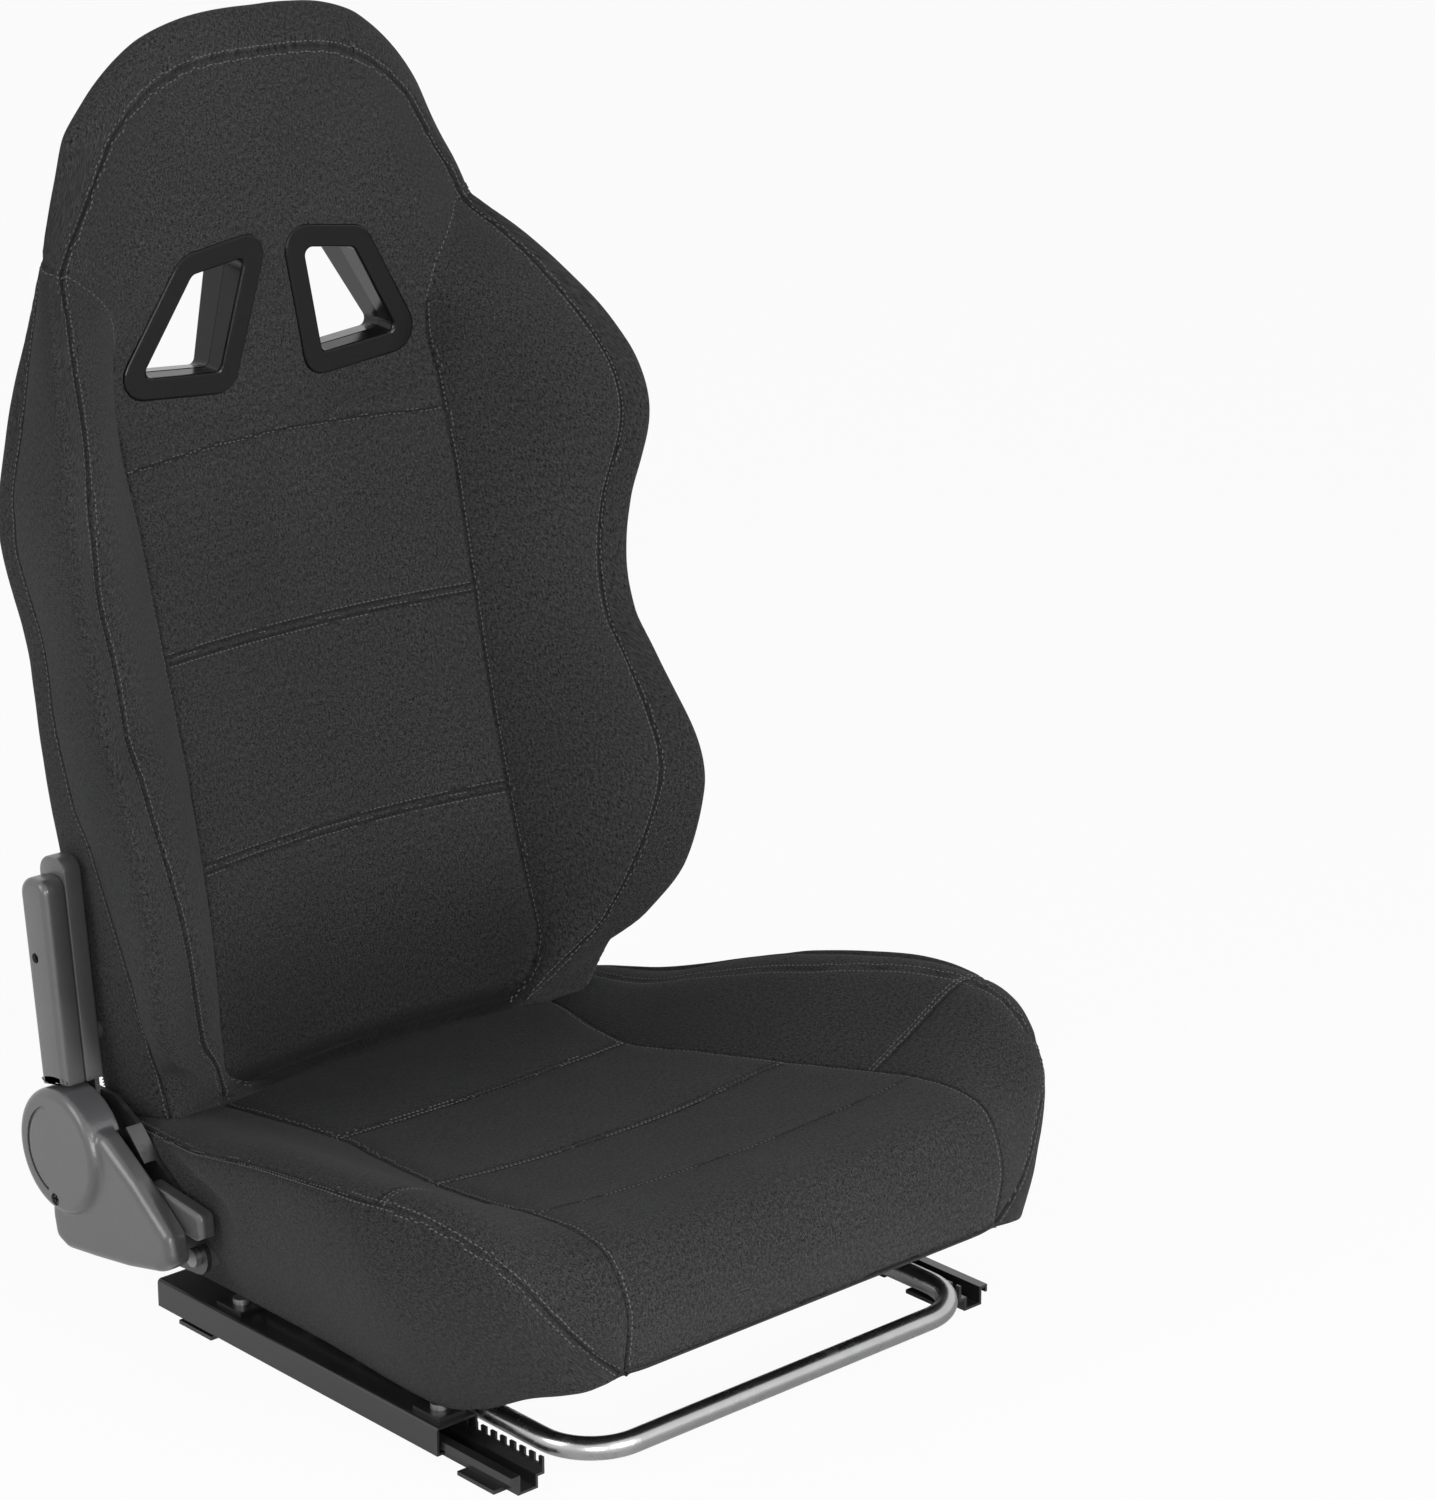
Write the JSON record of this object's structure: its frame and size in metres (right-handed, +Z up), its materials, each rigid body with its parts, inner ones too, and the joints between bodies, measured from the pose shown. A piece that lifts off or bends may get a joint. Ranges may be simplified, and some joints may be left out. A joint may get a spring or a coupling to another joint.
{
  "type": "racing seat",
  "caption": "Reclining racing seat in charcoal fabric with deep side bolsters, a fixed headrest with harness holes, side recliner and steel slide rails.",
  "frame": {"origin": "centre of the four floor bolts, at the floor under the rails", "axes": "-Y the way the seat faces, +Z up, X across the seat, recliner on -X"},
  "size_m": [0.59, 0.6629, 0.9448],
  "materials": {
    "fabric": "matte twill",
    "black_steel": "gloss",
    "bare_steel": "polished",
    "black_plastic": "satin",
    "glide_plastic": "satin"
  },
  "bodies": {
    "floor_rails": {"lower_rail_left": "black_steel", "lower_rail_right": "black_steel"},
    "seat_base": {"upper_rail_left": "black_steel", "upper_rail_right": "black_steel", "rail_glides": "glide_plastic", "bar_brackets": "black_steel", "bar_pins": "bare_steel", "seat_frame": "black_steel", "seat_springs": "bare_steel", "frame_bolts": "bare_steel", "seat_cushion": "fabric", "recliner_base": "bare_steel", "recliner_bolts": "bare_steel", "recline_spring": "black_steel", "lower_cover": "black_plastic", "cover_screw": "black_steel", "lever_pin": "bare_steel", "hinge_plate": "black_steel", "hinge_bolts": "bare_steel", "pivot_pin_left": "bare_steel", "pivot_pin_right": "bare_steel"},
    "bar": {"slide_bar": "bare_steel", "latch_left": "bare_steel", "latch_right": "bare_steel"},
    "lever": {"lever_plate": "bare_steel", "lever_grip": "black_plastic"},
    "backrest": {"recliner_arm": "bare_steel", "arm_cover_inner": "black_plastic", "arm_cover_outer": "black_plastic", "arm_bolts": "bare_steel", "hinge_arm": "black_steel", "back_frame": "black_steel", "back_cushion": "fabric", "bezel_front_left": "black_plastic", "bezel_front_right": "black_plastic", "bezel_rear_left": "black_plastic", "bezel_rear_right": "black_plastic"}
  },
  "joints": [
    {"name": "seat_slide", "type": "slide", "parent": "floor_rails", "child": "seat_base", "axis": [0, -1, 0], "range_m": [-0.08, 0.08]},
    {"name": "backrest_recline", "type": "hinge", "parent": "seat_base", "child": "backrest", "pos_m": [0, 0.256, 0.133], "axis": [-1, 0, 0], "range_deg": [0, 60]},
    {"name": "lever_lift", "type": "hinge", "parent": "seat_base", "child": "lever", "pos_m": [-0.259, 0.206, 0.099], "axis": [-1, 0, 0], "range_deg": [0, 12], "stiffness_Nm_per_rad": 1.2, "springref_deg": -28.65},
    {"name": "bar_lift", "type": "hinge", "parent": "seat_base", "child": "bar", "pos_m": [0, -0.015, 0.027], "axis": [-1, 0, 0], "range_deg": [0, 8], "stiffness_Nm_per_rad": 20, "springref_deg": -17.19}
  ]
}
